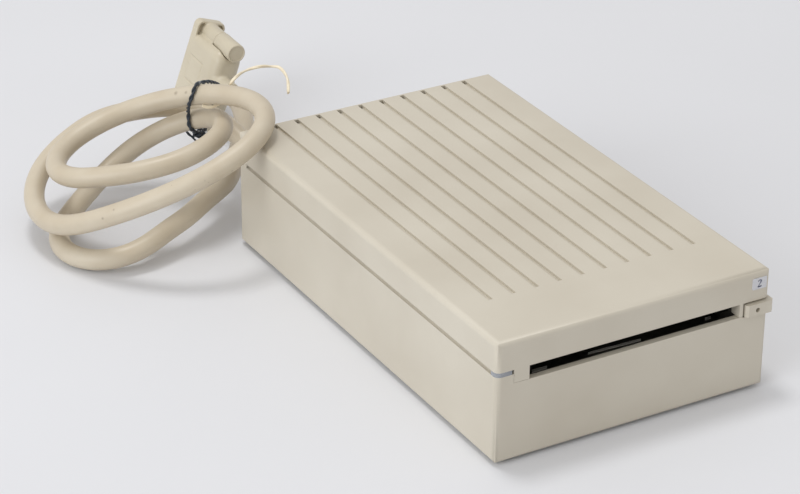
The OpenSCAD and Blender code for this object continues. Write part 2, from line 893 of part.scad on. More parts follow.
module shield_screws() {
  color(c_metal) at_shield_screws() translate([0, 0, frame_top + sheet]) mirror([0, 0, 1])
    screw_up(0, shield_head_r, shield_head_h, shield_screw_r, shield_boss_h);
}

module disk_cage() {
  color(c_metal) {
    difference() {
      span(-cage_half, cage_half, cage_front, cage_rear, cage_z, cage_z + cage_h);
      span(-cage_half + sheet, cage_half - sheet, cage_front - over, cage_rear + over,
        cage_z + sheet, cage_z + cage_h - sheet);
      span(-cage_half + cage_flange, cage_half - cage_flange, cage_front - over,
        cage_rear + over, cage_z - over, cage_z + cage_h / 2);
      span(-cage_open_half, cage_open_half, cage_rear - cage_open_l, cage_rear + over,
        cage_z, cage_z + cage_h + over);
    }
    both_sides() for (y = pin_ys) translate([cage_half - sheet / 2, y, pin_z])
      rotate([0, 90, 0]) cylinder(r = pin_r, h = pin_out + sheet / 2);
    translate([arm_x, arm_y, cage_z + cage_h - sheet / 2])
      cylinder(r = arm_pin_r, h = sheet / 2 + gap + arm_t);
  }
}

module slide_plate() {
  color(c_metal) {
    difference() {
      union() {
        span(-slide_out, slide_out, slide_front, slide_rear, slide_z, slide_z + sheet);
        span(gear_x - yoke_half - crank_r / 2, gear_x + yoke_half - crank_r / 2,
          slide_rear - over, cage_rear + yoke_rear, slide_z, slide_z + sheet);
      }
      // Window for the crank pin of the cam gear
      span(gear_x - crank_r - crank_pin_r - yoke_side, gear_x + crank_pin_r + yoke_side,
        gear_y + crank_r - crank_pin_r - yoke_play, gear_y + crank_r + crank_pin_r + yoke_play,
        slide_z - over, slide_z + sheet + over);
    }
    both_sides() difference() {
      span(slide_out - sheet, slide_out, slide_front, slide_rear, slide_foot, slide_z + sheet);
      for (y = pin_ys) translate([slide_out + over, y, pin_z]) rotate([0, -90, 0])
        linear_extrude(sheet + 2 * over)
          slot_outline(-disk_travel, slide_travel, pin_r + slot_play);
    }
  }
}

module shutter_arm() {
  color(c_metal) translate([arm_x, arm_y, cage_z + cage_h + gap]) rotate(arm_angle) {
    difference() {
      union() {
        cylinder(r = arm_r, h = arm_t);
        span(0, arm_l, -arm_w / 2, arm_w / 2, 0, arm_t);
        span(arm_l - arm_tab_t, arm_l, -arm_tab_t, arm_tab_t, -arm_tab_drop, arm_t);
      }
      translate([0, 0, -over]) cylinder(r = arm_pin_r + fit, h = arm_t + 2 * over);
    }
  }
}

module motor_board() {
  color(c_board) difference() {
    span(-rotor_r - motor_board_side, rotor_r + motor_board_side,
      spindle_y - rotor_r - motor_board_end, spindle_y + rotor_r + motor_board_end,
      plate_z - motor_board_t, plate_z);
    translate([0, spindle_y, plate_z - motor_board_t - over])
      cylinder(r = bearing_r + gap, h = motor_board_t + 2 * over);
  }
}

module stator_coils() {
  color([0.72, 0.42, 0.22]) for (i = [0 : coil_n - 1])
    translate([0, spindle_y, plate_z - motor_board_t - coil_h]) rotate(i * 360 / coil_n)
      translate([coil_at, 0, 0]) difference() {
        cylinder(r = coil_r, h = coil_h);
        translate([0, 0, -over]) cylinder(r = coil_core_r, h = coil_h + 2 * over);
      }
}

module spindle_bearing() {
  color(c_metal) translate([0, spindle_y, 0]) difference() {
    union() {
      translate([0, 0, plate_z - bearing_drop])
        cylinder(r = bearing_r, h = bearing_drop + plate_t);
      translate([0, 0, plate_top]) cylinder(r = bearing_flange_r, h = bearing_flange_t);
    }
    translate([0, 0, plate_z - bearing_drop - over])
      cylinder(r = shaft_r + fit, h = bearing_drop + plate_t + bearing_flange_t + 2 * over);
  }
}

module spindle_rotor() {
  color(c_metal) translate([0, spindle_y, rotor_z]) {
    cylinder(r = rotor_r, h = rotor_t);
    difference() {
      cylinder(r = rotor_r, h = rotor_h);
      translate([0, 0, rotor_t / 2]) cylinder(r = rotor_r - rotor_rim, h = rotor_h);
    }
    cylinder(r = shaft_r, h = hub_z + hub_t - rotor_z);
  }
}

module spindle_hub() {
  color(c_zinc) translate([0, spindle_y, 0]) difference() {
    union() {
      translate([0, 0, plate_top + bearing_flange_t + gap])
        cylinder(r = hub_collar_r, h = hub_z - plate_top - bearing_flange_t - gap + over);
      translate([0, 0, hub_z]) cylinder(r = hub_r, h = hub_t);
      translate([hub_pin_at, 0, hub_z]) cylinder(r = hub_pin_r, h = hub_t + hub_pin_h);
    }
    translate([0, 0, plate_top]) cylinder(r = shaft_r, h = hub_z);
  }
}

module stepper_motor() {
  color(c_metal) translate([screw_x, 0, rod_z]) difference() {
    rod_y(stepper_r, plate_rear + bracket_t, plate_rear + bracket_t + stepper_l);
    rod_y(screw_r + fit, plate_rear, plate_rear + bracket_t + stepper_l / 2);
  }
}

module lead_screw() {
  color(c_metal) translate([screw_x, 0, rod_z])
    rod_y(screw_r, rod_block_y + over, plate_rear + bracket_t + stepper_l / 2 - over);
}

module guide_rods() {
  color(c_metal) for (x = [-rod_x, rod_x]) translate([x, 0, rod_z])
    rod_y(rod_r, rod_block_y, plate_rear + bracket_t - over);
}

module head_carriage() {
  color(c_black) difference() {
    union() {
      span(-carriage_half, carriage_half, carriage_y, carriage_y + carriage_l,
        plate_top + carriage_lift, plate_top + carriage_lift + carriage_h);
      span(-tongue_half, tongue_half, carriage_y - tongue_l, carriage_y + over,
        plate_top + carriage_lift, plate_top + carriage_lift + tongue_h);
      both_sides() span(ear_in, ear_in + ear_t, hinge_y - ear_l / 2, hinge_y + ear_l / 2,
        plate_top + carriage_lift, hinge_z + knuckle_r);
    }
    for (x = [-rod_x, rod_x]) translate([x, 0, rod_z])
      rod_y(rod_r + fit, carriage_y - over, carriage_y + carriage_l + over);
    translate([screw_x, 0, rod_z])
      rod_y(screw_r + fit, carriage_y - over, carriage_y + carriage_l + over);
    translate([-carriage_half, hinge_y, hinge_z]) rotate([0, 90, 0])
      cylinder(r = hinge_r + fit, h = 2 * carriage_half);
  }
}

module lower_head() {
  color(c_zinc) span(-head_w / 2, head_w / 2, head_y - head_w / 2, head_y + head_w / 2,
    plate_top + carriage_lift + tongue_h, plate_top + carriage_lift + tongue_h + lower_head_h);
}

module upper_arm() {
  color(c_black) {
    span(-ear_in + gap, ear_in - gap, head_y - head_w / 2 - carriage_lift, hinge_y,
      hinge_z + knuckle_r - upper_arm_t, hinge_z + knuckle_r);
    translate([-ear_in + gap, hinge_y, hinge_z]) rotate([0, 90, 0])
      cylinder(r = knuckle_r, h = 2 * (ear_in - gap));
    translate([-ear_in - ear_t, hinge_y, hinge_z]) rotate([0, 90, 0])
      cylinder(r = hinge_r, h = 2 * (ear_in + ear_t));
  }
}

module upper_head() {
  color(c_zinc) span(-head_w / 2, head_w / 2, head_y - head_w / 2, head_y + head_w / 2,
    hinge_z + knuckle_r - upper_arm_t - upper_head_h, hinge_z + knuckle_r - upper_arm_t);
}

module track_sensor() {
  color(c_black) span(-carriage_half - sensor_gap - sensor_w, -carriage_half - sensor_gap,
    carriage_y + sensor_in, carriage_y + sensor_in + sensor_l, plate_top, plate_top + sensor_h);
}

module eject_motor() {
  color(c_metal) translate([gear_x, pinion_y, plate_top]) difference() {
    cylinder(r = eject_motor_r, h = eject_motor_h);
    translate([0, 0, eject_motor_h - pinion_shaft_h + over])
      cylinder(r = pinion_shaft_r + fit, h = pinion_shaft_h);
  }
}

module motor_pinion() {
  color(c_zinc) translate([gear_x, pinion_y, gear_z]) {
    linear_extrude(gear_t) gear_outline(pinion_teeth, 180 / pinion_teeth);
    translate([0, 0, -pinion_shaft_h]) cylinder(r = pinion_shaft_r, h = pinion_shaft_h + over);
  }
}

module cam_gear() {
  color(c_black) translate([gear_x, gear_y, gear_z]) {
    difference() {
      linear_extrude(gear_t) gear_outline(gear_teeth, 0);
      translate([0, 0, -over]) cylinder(r = gear_bore_r + fit, h = over + gear_bore_h);
    }
    translate([0, crank_r, gear_t - over]) cylinder(r = crank_pin_r, h = crank_pin_h + over);
  }
}

module logic_board() {
  color(c_board) span(-board_half, board_half, board_front, board_rear, board_z,
    board_z + board_t);
}

module board_chips() {
  color(c_black) for (c = chip_shares)
    translate([c[0] * board_half, board_front + c[1] * (board_rear - board_front),
      board_z + board_t + chip_h / 2])
      cube([c[2] * board_half, c[3] * (board_rear - board_front), chip_h], center = true);
}

module board_connector() {
  color(c_black) span(-header_w / 2, header_w / 2, board_rear - header_l - over,
    board_rear - over, board_z + board_t, board_z + board_t + header_h);
}

// Rear socket
module socket_outline(w, h) {
  slant = h * socket_slant_share;
  polygon([[-w / 2, h / 2], [-w / 2 + slant, -h / 2], [w / 2 - slant, -h / 2], [w / 2, h / 2]]);
}

module rear_socket_shell() {
  color(c_metal) translate([socket_x, in_y, socket_z]) rotate([90, 0, 0]) {
    difference() {
      union() {
        translate([-socket_plate_w / 2, -socket_plate_h / 2, 0])
          cube([socket_plate_w, socket_plate_h, sheet]);
        translate([0, 0, -wall + socket_gap]) linear_extrude(wall)
          socket_outline(socket_w, socket_h);
      }
      translate([0, 0, -wall]) linear_extrude(2 * wall)
        socket_outline(socket_w - 2 * socket_wall, socket_h - 2 * socket_wall);
    }
    for (s = [-1, 1]) translate([s * socket_nut_at, 0, sheet / 2])
      cylinder(r = socket_nut_r, h = sheet / 2 + socket_nut_h);
  }
}

module rear_socket_insert() {
  color(c_black) translate([socket_x, in_y, socket_z]) rotate([90, 0, 0]) difference() {
    translate([0, 0, -wall + 2 * socket_gap]) linear_extrude(socket_depth)
      socket_outline(socket_w - 2 * socket_wall - 2 * fit,
        socket_h - 2 * socket_wall - 2 * fit);
    for (row = [0, 1], i = [0 : socket_n - 1 - row])
      translate([(i - (socket_n - 1 - row) / 2) * socket_pitch,
        (1 - 2 * row) * socket_pitch * socket_row_share, -2 * wall])
        cylinder(r = socket_bore_r, h = 2 * wall + over);
  }
}

// Cable
// Middle line of the loops after t turns
function loop_point(t) =
  let (a = 360 * t, r = blend(loop_radii, t * loop_steps))
  [loop_middle[0] + loop_drift * t + r * cos(a), loop_middle[1] - r * sin(a),
    blend(loop_heights, t * loop_steps)];
// Length of cable up to each of many points, and the turn there, so that
// the rings can lie evenly along the cable
loop_fine = 96;
loop_n = loop_turns * loop_rings;
loop_way = [for (i = 0, s = 0; i <= loop_turns * loop_fine;
  s = s + norm(loop_point((i + 1) / loop_fine) - loop_point(i / loop_fine)), i = i + 1)
  [s, i / loop_fine]];
loop_length = loop_way[len(loop_way) - 1][0];
loop_points = [for (k = [0 : loop_n]) loop_point(lookup(k * loop_length / loop_n, loop_way))];
loop_last = len(loop_points) - 1;
loop_in = unit(loop_points[1] - loop_points[0]);
loop_out = unit(loop_points[loop_last] - loop_points[loop_last - 1]);

// Least gap between two stretches of the loops a quarter of a turn or more apart
loop_reach = loop_rings / 4;
loop_gaps = [for (i = [0 : loop_last - loop_reach - 1], j = [i + loop_reach : loop_last])
  norm(loop_points[i] - loop_points[j]) - cable_d];
echo("least gap of the cable loops to themselves, mm", min(loop_gaps));

module cable_boot() {
  color(c_side) translate([boot_x, 0, boot_z]) {
    rod_y(boot_flange_r, in_y - boot_flange_t, in_y);
    rod_y(boot_neck_r, in_y - over, half_d);
    translate([0, half_d, 0]) rotate([-90, 0, 0])
      cylinder(r1 = boot_r, r2 = boot_end_r, h = boot_l);
  }
}

module cable_case_end() {
  color(c_cable) tube(curve(concat([loop_points[loop_last]], case_end_points), 1), cable_r, 8,
    loop_out);
}

module cable_loops() {
  color(c_cable) tube(loop_points, cable_r, 6);
}

module cable_plug_end() {
  color(c_cable) tube(curve(concat(plug_end_points, [loop_points[0]]), 1), cable_r, 8,
    undef, loop_in);
}

module wire_tie() {
  color([0.16, 0.2, 0.24]) wire_ring(tie_points, tie_d / 2, 6);
}

module spare_tie() {
  color([0.92, 0.87, 0.74]) tube(curve(spare_points, 2), spare_d / 2, 6);
}

// Plug
module at_plug() {
  translate(plug_at) rotate(plug_turn) children();
}

module hood_solid() {
  // Core, wide along Z and long along Y
  translate([-plug_t, 0, 0]) rotate([90, 0, 90]) linear_extrude(2 * plug_t) {
    translate([-plug_l / 2, 0]) round_rect(plug_l, 2 * plug_core, plug_corner);
    translate([-plug_l / 4, 0]) square([plug_l / 2, 2 * plug_core], center = true);
  }
  span(-plug_t, plug_t, -plug_flange, plug_plate_t, -plug_half, plug_half);
  for (s = [-1, 1]) translate([0, 0, s * thumb_at]) rod_y(barrel_r, -barrel_end, 0);
  span(-barrel_r / 2, barrel_r / 2, -barrel_end, 0, -thumb_at, thumb_at);
  rod_y(collar_r, -plug_l - collar_l, -plug_l / 2);
}

module plug_plate(play, deeper) {
  half_w = plug_half - plug_plate_in + play;
  span(-plug_plate_x - play, plug_plate_x + play, 0, plug_plate_t + deeper, -half_w, half_w);
}

module hood_half(side) {
  color(c_case) at_plug() difference() {
    intersection() {
      hood_solid();
      span(side < 0 ? -2 * plug_t : 0, side < 0 ? 0 : 2 * plug_t, -2 * plug_l, plug_l,
        -2 * plug_half, 2 * plug_half);
    }
    span(-plug_t + plug_wall, plug_t - plug_wall, -plug_l + plug_wall, -plug_flange,
      -plug_cavity, plug_cavity);
    plug_plate(fit, over);
    for (s = [-1, 1]) translate([0, 0, s * thumb_at]) {
      rod_y(thumb_shank_r + fit, -barrel_end - over, over);
      rod_y(thumb_cradle_r, -2 * plug_l, -barrel_end);
    }
    if (side < 0) difference() {
      span(-plug_t - over, -plug_t + panel_depth, panel_y - panel_l / 2, panel_y + panel_l / 2,
        -panel_w / 2, panel_w / 2);
      span(-plug_t - 2 * over, 0, panel_y - panel_l / 2 + panel_line,
        panel_y + panel_l / 2 - panel_line, -panel_w / 2 + panel_line,
        panel_w / 2 - panel_line);
    }
  }
}

module plug_hood_left() {
  hood_half(-1);
}

module plug_hood_right() {
  hood_half(1);
}

module plug_d(half_w, half_t) {
  slant = half_t * plug_slant_share;
  polygon([[half_t, -half_w], [half_t, half_w], [-half_t, half_w - slant],
    [-half_t, -half_w + slant]]);
}

module plug_shell() {
  color(c_metal) at_plug() difference() {
    union() {
      plug_plate(0, 0);
      rotate([-90, 0, 0]) mirror([0, 1, 0]) linear_extrude(plug_tube_l)
        plug_d(plug_tube, plug_tube_x);
    }
    translate([0, -over, 0]) rotate([-90, 0, 0]) mirror([0, 1, 0])
      linear_extrude(plug_tube_l + 2 * over)
        plug_d(plug_tube - plug_tube_wall, plug_tube_x - plug_tube_wall);
    for (s = [-1, 1]) translate([0, 0, s * thumb_at])
      rod_y(thumb_shank_r + fit, -over, plug_tube_l);
  }
}

module at_pins() {
  for (row = [0, 1], i = [0 : plug_pin_rows[row] - 1])
    translate([(0.5 - row) * 2 * plug_pin_row_x, 0,
      (i - (plug_pin_rows[row] - 1) / 2) * plug_pin_pitch]) children();
}

module plug_insert() {
  color(c_black) at_plug() difference() {
    rotate([-90, 0, 0]) mirror([0, 1, 0]) linear_extrude(plug_insert_l)
      plug_d(plug_tube - plug_tube_wall - fit, plug_tube_x - plug_tube_wall - fit);
    at_pins() rod_y(plug_pin_r, -over, plug_insert_l + over);
  }
}

module plug_pins() {
  color([0.8, 0.68, 0.35]) at_plug() at_pins() rod_y(plug_pin_r, 0, plug_pin_l);
}

module thumbscrew() {
  rod_y(thumb_r, -thumb_end, -barrel_end - thumb_gap);
  rod_y(thumb_shank_r, -barrel_end - thumb_gap - over, thumb_tip);
}

module thumbscrew_upper() {
  color(c_case) at_plug() translate([0, 0, thumb_at]) thumbscrew();
}

module thumbscrew_lower() {
  color(c_case) at_plug() translate([0, 0, -thumb_at]) thumbscrew();
}

top_cover();
bottom_case();
rubber_feet();
case_screws();
mount_screws();
eject_button();
button_spring();
switch_board();
eject_switch();
light_window();
led_board();
led_lamp();
number_label();
drive_frame();
top_shield();
shield_screws();
disk_cage();
slide_plate();
shutter_arm();
motor_board();
stator_coils();
spindle_bearing();
spindle_rotor();
spindle_hub();
stepper_motor();
lead_screw();
guide_rods();
head_carriage();
lower_head();
upper_arm();
upper_head();
track_sensor();
eject_motor();
motor_pinion();
cam_gear();
logic_board();
board_chips();
board_connector();
rear_socket_shell();
rear_socket_insert();
cable_boot();
cable_case_end();
cable_loops();
cable_plug_end();
wire_tie();
spare_tie();
plug_hood_left();
plug_hood_right();
plug_shell();
plug_insert();
plug_pins();
thumbscrew_upper();
thumbscrew_lower();
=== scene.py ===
import math
import random

import bmesh
import bpy
from mathutils import Matrix, Vector


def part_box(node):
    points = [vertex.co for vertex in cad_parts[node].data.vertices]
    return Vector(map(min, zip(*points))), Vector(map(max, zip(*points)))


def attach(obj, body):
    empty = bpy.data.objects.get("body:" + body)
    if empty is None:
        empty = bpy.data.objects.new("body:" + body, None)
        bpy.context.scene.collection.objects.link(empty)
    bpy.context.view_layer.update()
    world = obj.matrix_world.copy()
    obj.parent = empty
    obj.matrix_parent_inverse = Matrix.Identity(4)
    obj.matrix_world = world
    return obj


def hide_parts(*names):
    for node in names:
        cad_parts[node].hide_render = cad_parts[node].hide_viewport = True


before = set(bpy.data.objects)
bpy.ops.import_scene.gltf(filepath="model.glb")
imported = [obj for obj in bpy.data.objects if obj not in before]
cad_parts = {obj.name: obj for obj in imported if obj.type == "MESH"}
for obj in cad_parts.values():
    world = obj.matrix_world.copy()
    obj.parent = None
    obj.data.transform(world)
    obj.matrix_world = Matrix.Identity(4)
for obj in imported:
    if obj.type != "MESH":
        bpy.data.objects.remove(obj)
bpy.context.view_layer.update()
scene = bpy.context.scene
scene.view_settings.view_transform = "Standard"
MM = 0.001


# Camera, fitted to the straight edges of the case
def make_camera():
    x, y, z = -0.53502, -0.85099, 0.55662
    right = Vector((0.86722, -0.49785, 0.00808))
    up = Vector((0.22548, 0.40714, 0.88509))
    back = Vector((-0.44393, -0.76575, 0.46534))
    data = bpy.data.cameras.new("camera")
    data.lens = 129.6
    data.sensor_width = 36
    data.sensor_fit = "HORIZONTAL"
    data.clip_start = 0.05
    data.clip_end = 20
    cam = bpy.data.objects.new("camera", data)
    cam.matrix_world = Matrix((
        (right.x, up.x, back.x, x),
        (right.y, up.y, back.y, y),
        (right.z, up.z, back.z, z),
        (0, 0, 0, 1)))
    scene.collection.objects.link(cam)
    scene.camera = cam


make_camera()


# Mesh helpers
def link(name, mesh, place=None):
    obj = bpy.data.objects.new(name, mesh)
    scene.collection.objects.link(obj)
    if place is not None:
        obj.matrix_world = place
    return obj


def finish_mesh(bm, name, place=None, angle=40):
    """Object from a bmesh, smooth but for edges sharper than the angle."""
    bmesh.ops.recalc_face_normals(bm, faces=bm.faces)
    mesh = bpy.data.meshes.new(name)
    bm.to_mesh(mesh)
    bm.free()
    shade(mesh, angle)
    return link(name, mesh, place)


def shade(mesh, angle):
    for face in mesh.polygons:
        face.use_smooth = True
    mesh.set_sharp_from_angle(angle=math.radians(angle))


def frames(points, closed=False):
    """Direction of a line at each point, and a side direction that doesn't twist."""
    n = len(points)
    along = []
    for i in range(n):
        a = points[i - 1] if closed or i else points[0]
        b = points[(i + 1) % n] if closed or i < n - 1 else points[-1]
        along.append((b - a).normalized())
    sides = [along[0].orthogonal().normalized()]
    for t in along[1:]:
        side = sides[-1] - t * sides[-1].dot(t)
        sides.append(side.normalized())
    return along, sides


def catmull(points, steps, closed=False):
    """Smooth line through the points."""
    n = len(points)
    out = []
    for i in range(n if closed else n - 1):
        b, c = points[i], points[(i + 1) % n]
        a = points[i - 1] if closed or i else b * 2 - c
        d = points[(i + 2) % n] if closed or i < n - 2 else c * 2 - b
        for k in range(steps):
            u = k / steps
            out.append((b * 2 + (c - a) * u + (a * 2 - b * 5 + c * 4 - d) * u * u
                        + (b * 3 - a - c * 3 + d) * u ** 3) / 2)
    if not closed:
        out.append(points[-1].copy())
    return out


def evenly(points, step, closed=False):
    """The same line with points at even distances."""
    line = points + ([points[0]] if closed else [])
    way = [0.0]
    for a, b in zip(line, line[1:]):
        way.append(way[-1] + (b - a).length)
    n = max(2, round(way[-1] / step))
    out, k = [], 0
    for i in range(n + (0 if closed else 1)):
        want = way[-1] * i / n
        while k < len(line) - 2 and way[k + 1] < want:
            k += 1
        share = (want - way[k]) / max(way[k + 1] - way[k], 1e-12)
        out.append(line[k].lerp(line[k + 1], min(max(share, 0), 1)))
    return out


def add_tube(bm, points, radius, n, closed=False):
    """Tube of n sides along a line."""
    along, sides = frames(points, closed)
    rings = []
    for i, p in enumerate(points):
        b = along[i].cross(sides[i])
        rings.append([bm.verts.new(p + sides[i] * (radius * math.cos(2 * math.pi * k / n))
                                   + b * (radius * math.sin(2 * math.pi * k / n)))
                      for k in range(n)])
    for i in range(len(rings) - (0 if closed else 1)):
        bridge(bm, rings[i], rings[(i + 1) % len(rings)])
    if not closed:
        bm.faces.new(list(reversed(rings[0])))
        bm.faces.new(rings[-1])


def add_lathe(bm, profile, n, middle=(0, 0)):
    """Turned shape of n sides round a line along Y; profile and middle (x, z) are in mm."""
    rings = []
    for r, y in profile:
        if r <= 0:
            rings.append([bm.verts.new((middle[0] * MM, y * MM, middle[1] * MM))])
        else:
            rings.append([bm.verts.new(((middle[0] + r * math.cos(2 * math.pi * k / n)) * MM,
                                        y * MM,
                                        (middle[1] + r * math.sin(2 * math.pi * k / n)) * MM))
                          for k in range(n)])
    faces = []
    for a, b in zip(rings, rings[1:]):
        for k in range(n):
            if len(a) == 1:
                faces.append(bm.faces.new((a[0], b[(k + 1) % n], b[k])))
            elif len(b) == 1:
                faces.append(bm.faces.new((a[k], a[(k + 1) % n], b[0])))
            else:
                faces.append(bm.faces.new((a[k], a[(k + 1) % n], b[(k + 1) % n], b[k])))
    return faces


def rounded_outline(half_a, half_b, r):
    """Rectangle with corners of radius r, from its half sides."""
    out, steps = [], 6
    for sa, sb, start in ((1, 1, 0), (-1, 1, 90), (-1, -1, 180), (1, -1, 270)):
        for k in range(steps + 1):
            t = math.radians(start + 90 * k / steps)
            out.append((sa * (half_a - r) + r * math.cos(t), sb * (half_b - r) + r * math.sin(t)))
    return out


def bridge(bm, a, b):
    """Faces between two closed rings of the same count."""
    for k in range(len(a)):
        m = (k + 1) % len(a)
        bm.faces.new((a[k], a[m], b[m], b[k]))


# Materials
def linear(rgb):
    """Linear colour of an sRGB one with parts up to 255."""
    out = []
    for c in rgb:
        c /= 255
        out.append(c / 12.92 if c <= 0.04045 else ((c + 0.055) / 1.055) ** 2.4)
    return (*out, 1)


class Finish:
    """A material whose colour and roughness follow a broad noise and its relief a fine one."""

    NOISE_DETAIL = 3
    NOISE_SPAN = (0.3, 0.7)

    def __init__(self, name, low, high, rough=(0.42, 0.52), metal=0.0, blotch=45, grain=2600,
                 relief=0.00002, stretch=(1, 1, 1), coat=0.0):
        self.mat = bpy.data.materials.new(name)
        self.mat.use_nodes = True
        self.nodes, self.links = self.mat.node_tree.nodes, self.mat.node_tree.links
        self.shader = self.nodes["Principled BSDF"]
        self.shader.inputs["Metallic"].default_value = metal
        self.shader.inputs["Coat Weight"].default_value = coat
        self.coord = self.nodes.new("ShaderNodeTexCoord")
        self.place = self.nodes.new("ShaderNodeMapping")
        self.place.inputs["Scale"].default_value = stretch
        self.join(self.coord.outputs["Object"], self.place.inputs["Vector"])
        patch = self.noise(blotch)
        self.colour = self.mix(patch.outputs["Fac"], linear(low), linear(high))
        fine = self.noise(grain)
        span = self.nodes.new("ShaderNodeMapRange")
        span.inputs["From Min"].default_value = self.NOISE_SPAN[0]
        span.inputs["From Max"].default_value = self.NOISE_SPAN[1]
        span.inputs["To Min"].default_value = rough[0]
        span.inputs["To Max"].default_value = rough[1]
        self.join(patch.outputs["Fac"], span.inputs["Value"])
        self.join(span.outputs["Result"], self.shader.inputs["Roughness"])
        bump = self.nodes.new("ShaderNodeBump")
        bump.inputs["Distance"].default_value = relief
        self.join(fine.outputs["Fac"], bump.inputs["Height"])
        self.join(bump.outputs["Normal"], self.shader.inputs["Normal"])
        self.join(self.colour, self.shader.inputs["Base Color"])

    def join(self, a, b):
        self.links.new(a, b)

    def noise(self, scale):
        node = self.nodes.new("ShaderNodeTexNoise")
        node.inputs["Scale"].default_value = scale
        node.inputs["Detail"].default_value = self.NOISE_DETAIL
        self.join(self.place.outputs["Vector"], node.inputs["Vector"])
        return node

    def mix(self, factor, a, b):
        """Colour between a and b as factor goes over the noise's span."""
        ramp = self.nodes.new("ShaderNodeValToRGB")
        ramp.color_ramp.elements[0].position = self.NOISE_SPAN[0]
        ramp.color_ramp.elements[1].position = self.NOISE_SPAN[1]
        ramp.color_ramp.elements[0].color = a
        ramp.color_ramp.elements[1].color = b
        self.join(factor, ramp.inputs["Fac"])
        return ramp.outputs["Color"]

    def math(self, kind, a, b, clamp=False):
        node = self.nodes.new("ShaderNodeMath")
        node.operation = kind
        node.use_clamp = clamp
        for i, v in enumerate((a, b)):
            if isinstance(v, (int, float)):
                node.inputs[i].default_value = v
            else:
                self.join(v, node.inputs[i])
        return node.outputs[0]

    def stain_and_highlight(self, mask, colour, amount):
        """Blends a colour over the surface where mask is 1, for stains and for a painted
        highlight.
        """
        node = self.nodes.new("ShaderNodeMix")
        node.data_type = "RGBA"
        node.inputs["B"].default_value = linear(colour)
        self.join(self.colour, node.inputs["A"])
        self.join(self.math("MULTIPLY", mask, amount), node.inputs["Factor"])
        self.colour = node.outputs["Result"]
        self.join(self.colour, self.shader.inputs["Base Color"])

    def specks(self, scale, colour, size, amount):
        """Small round specks of another colour, in few of the cells."""
        cells = self.nodes.new("ShaderNodeTexVoronoi")
        cells.inputs["Scale"].default_value = scale
        self.join(self.coord.outputs["Object"], cells.inputs["Vector"])
        near = self.math("LESS_THAN", cells.outputs["Distance"], size)
        rare = self.nodes.new("ShaderNodeSeparateColor")
        self.join(cells.outputs["Color"], rare.inputs["Color"])
        few = self.math("GREATER_THAN", rare.outputs[0], 0.72)
        self.stain_and_highlight(self.math("MULTIPLY", near, few), colour, amount)

    def near(self, middle, radii):
        """1 at a place given in metres, falling to 0 at the radii."""
        shift = self.nodes.new("ShaderNodeVectorMath")
        shift.operation = "SUBTRACT"
        shift.inputs[1].default_value = middle
        self.join(self.coord.outputs["Object"], shift.inputs[0])
        scale = self.nodes.new("ShaderNodeVectorMath")
        scale.operation = "DIVIDE"
        scale.inputs[1].default_value = radii
        self.join(shift.outputs[0], scale.inputs[0])
        far = self.nodes.new("ShaderNodeVectorMath")
        far.operation = "LENGTH"
        self.join(scale.outputs[0], far.inputs[0])
        return self.math("SUBTRACT", 1.0, far.outputs["Value"], True)


case_finish = Finish("case_plastic", (199, 191, 175), (207, 200, 185), (0.36, 0.48),
                     blotch=24, grain=2400, relief=0.000012)
case_finish.specks(420, (150, 140, 118), 0.05, 0.35)
case_finish.stain_and_highlight(case_finish.near((0.0352, 0.0190, 0.0515), (0.0012, 0.0030, 0.002)),
                  (148, 122, 92), 0.5)
side_finish = Finish("case_plastic_lower", (198, 190, 174), (206, 199, 184), (0.36, 0.48),
                     blotch=24, grain=2400, relief=0.000012)
side_finish.specks(380, (150, 140, 118), 0.05, 0.3)
plug_finish = Finish("plug_plastic", (197, 187, 165), (205, 196, 175), (0.34, 0.46),
                     blotch=60, grain=2800, relief=0.000012)
plug_finish.specks(500, (150, 135, 110), 0.05, 0.3)
cable_finish = Finish("cable_plastic", (196, 183, 161), (204, 193, 173), (0.34, 0.48),
                      blotch=70, grain=1500, relief=0.00002)
cable_finish.specks(260, (110, 95, 75), 0.045, 0.45)
# Small scuffs on the cable: place and spread in mm
CABLE_MARKS = [
    ((-65.5, 147.5, 50.6), 0.9),
    ((-62.8, 143.3, 52), 0.7),
    ((-76.7, 73, 48.7), 0.6),
    ((-88.7, 73.7, 47.2), 0.5),
    ((-123.3, 97.3, 28.4), 0.6),
    ((-119.6, 94.4, 32.8), 0.5),
    ((-87.1, 73.4, 46), 0.5),
]
for place, spread in CABLE_MARKS:
    cable_finish.stain_and_highlight(cable_finish.near(tuple(c * MM for c in place), (spread * 1.3 * MM,) * 3),
                       (112, 94, 72), 0.6)
button_finish = Finish("button_plastic", (199, 191, 175), (207, 200, 185), (0.3, 0.42),
                       blotch=80, grain=3000, relief=0.00001)
window_finish = Finish("window_plastic", (132, 135, 141), (152, 155, 160), (0.18, 0.3),
                       blotch=200, grain=1800, relief=0.000008, coat=0.3)
rubber_finish = Finish("foot_rubber", (30, 30, 31), (44, 43, 42), (0.7, 0.85), blotch=150,
                       grain=3500, relief=0.00006)
label_finish = Finish("label_film", (204, 204, 208), (212, 212, 216), (0.25, 0.34), blotch=300,
                      grain=2600, relief=0.000004)
print_finish = Finish("label_print", (88, 92, 112), (104, 108, 128), (0.35, 0.45), blotch=900,
                      grain=4000, relief=0.000004)
steel_finish = Finish("steel", (150, 150, 150), (184, 184, 182), (0.22, 0.34), 1.0, blotch=120,
                      grain=2200, relief=0.00001, stretch=(1, 1, 6))
sheet_finish = Finish("sheet_steel", (138, 139, 138), (170, 170, 166), (0.3, 0.45), 1.0,
                      blotch=60, grain=900, relief=0.00001, stretch=(8, 1, 1))
# Painted shade: the disk cage's steel made near black for the dim inside of the slot
steel_painted_shade = Finish("steel_painted_shade", (38, 37, 36), (58, 56, 53), (0.34, 0.5), 0.8, blotch=90,
                    grain=1200, relief=0.00001, stretch=(6, 1, 1))
alloy_finish = Finish("cast_alloy", (92, 90, 84), (122, 119, 110), (0.5, 0.66), 0.8, blotch=160,
                      grain=1600, relief=0.00008)
board_finish = Finish("circuit_board", (24, 66, 42), (38, 92, 58), (0.3, 0.42), blotch=30,
                      grain=900, relief=0.00002, coat=0.4)
